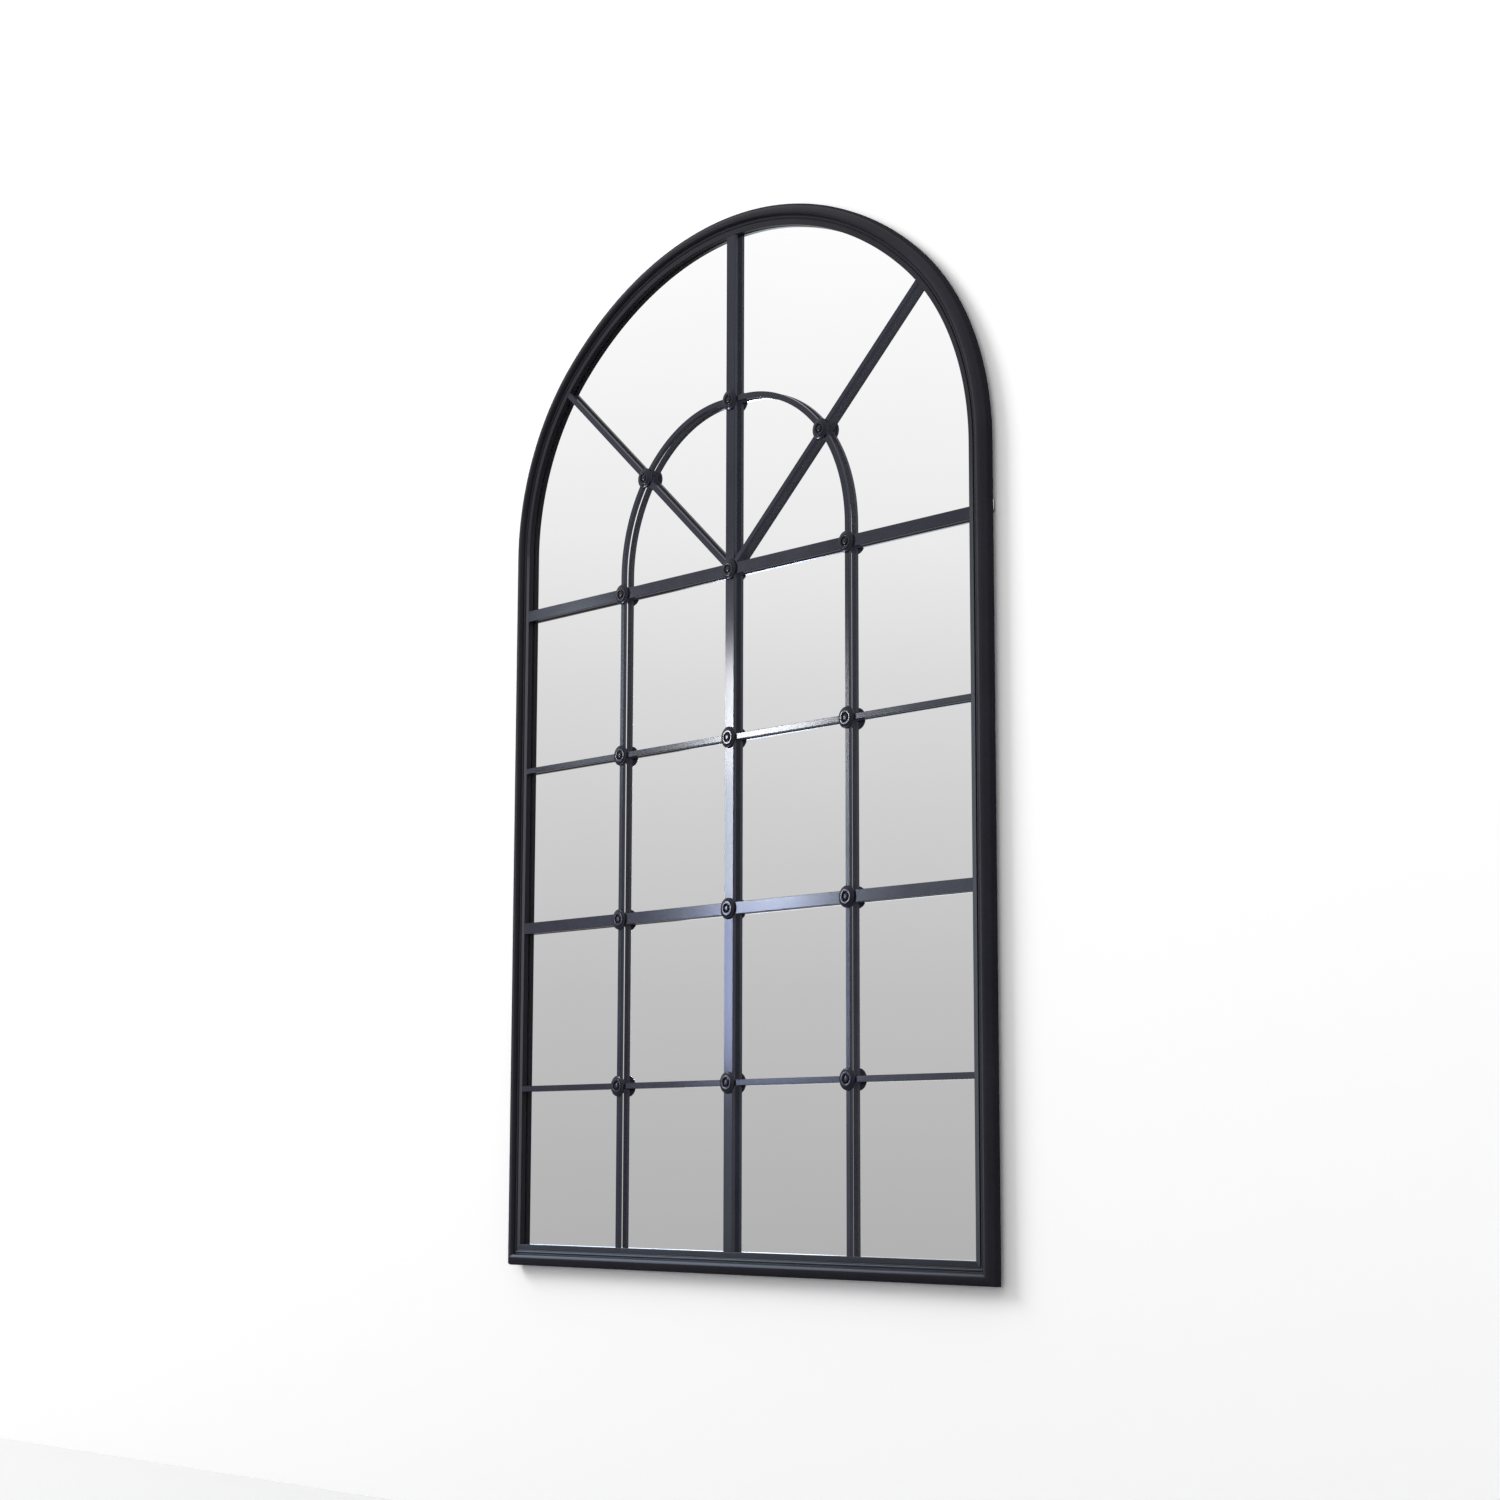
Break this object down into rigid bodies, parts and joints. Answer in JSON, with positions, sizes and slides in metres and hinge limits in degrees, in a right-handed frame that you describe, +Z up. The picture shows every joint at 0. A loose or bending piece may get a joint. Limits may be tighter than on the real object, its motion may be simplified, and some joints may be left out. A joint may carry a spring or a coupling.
{
  "type": "arched window mirror",
  "caption": "Tall arched wall mirror in a moulded black metal frame, with window bars and turned rosettes standing in front of one sheet of mirror, hung on two rings.",
  "frame": {"origin": "on the wall plane, midway between the pivots of the two hanger rings, level with the centre line of the uppermost cross bar", "axes": "+Z up; +Y into the wall, so that the mirror faces -Y; +X to the right of someone who stands in front of it"},
  "size_m": [1.2, 0.03, 1.7996],
  "materials": {
    "bar_paint": "satin black paint on flat steel",
    "board": "hardboard, smooth face outward",
    "foam_tape": "closed cell foam tape",
    "frame_paint": "satin black paint on rolled steel",
    "mirror": "silvered at the back, polished",
    "ring_steel": "zinc plated wire",
    "rosette_paint": "satin black paint on a casting",
    "rubber": "matt moulded rubber",
    "screw_steel": "zinc plated",
    "zinc_steel": "zinc plated sheet"
  },
  "bodies": {
    "mirror": {"backing_board": "board", "bar_centre": "bar_paint", "bar_cross_1": "bar_paint", "bar_cross_2": "bar_paint", "bar_cross_3": "bar_paint", "bar_cross_4": "bar_paint", "bar_diagonal_left": "bar_paint", "bar_diagonal_right": "bar_paint", "bar_inner_arch": "bar_paint", "bar_side_left": "bar_paint", "bar_side_right": "bar_paint", "bracket_screws": "screw_steel", "clip_screws": "screw_steel", "corner_bracket_left": "zinc_steel", "corner_bracket_right": "zinc_steel", "frame_bottom_rail": "frame_paint", "frame_crown": "frame_paint", "frame_shoulder_left": "frame_paint", "frame_shoulder_right": "frame_paint", "frame_stile_left": "frame_paint", "frame_stile_right": "frame_paint", "glazing_tape": "foam_tape", "hanger_screws": "screw_steel", "hanger_strap_left": "zinc_steel", "hanger_strap_right": "zinc_steel", "mirror_glass": "mirror", "retaining_clips": "zinc_steel", "rosette_arch_left": "rosette_paint", "rosette_arch_right": "rosette_paint", "rosette_arch_top": "rosette_paint", "rosette_row1_centre": "rosette_paint", "rosette_row1_left": "rosette_paint", "rosette_row1_right": "rosette_paint", "rosette_row2_centre": "rosette_paint", "rosette_row2_left": "rosette_paint", "rosette_row2_right": "rosette_paint", "rosette_row3_centre": "rosette_paint", "rosette_row3_left": "rosette_paint", "rosette_row3_right": "rosette_paint", "rosette_row4_centre": "rosette_paint", "rosette_row4_left": "rosette_paint", "rosette_row4_right": "rosette_paint", "setting_block_left": "rubber", "setting_block_right": "rubber", "splice_plate_lower_left": "zinc_steel", "splice_plate_lower_right": "zinc_steel", "splice_plate_upper_left": "zinc_steel", "splice_plate_upper_right": "zinc_steel", "splice_screws": "screw_steel", "wall_bumper_lower_left": "rubber", "wall_bumper_lower_right": "rubber", "wall_bumper_upper_left": "rubber", "wall_bumper_upper_right": "rubber"},
    "ring_right": {"hanger_ring_right": "ring_steel"},
    "ring_left": {"hanger_ring_left": "ring_steel"}
  },
  "joints": [
    {"name": "ring_right_swing", "type": "hinge", "parent": "mirror", "child": "ring_right", "pos_m": [0.587, -0.00445, 0], "axis": [-1, 0, 0], "range_deg": [0, 165]},
    {"name": "ring_left_swing", "type": "hinge", "parent": "mirror", "child": "ring_left", "pos_m": [-0.587, -0.00445, 0], "axis": [-1, 0, 0], "range_deg": [0, 165]}
  ]
}
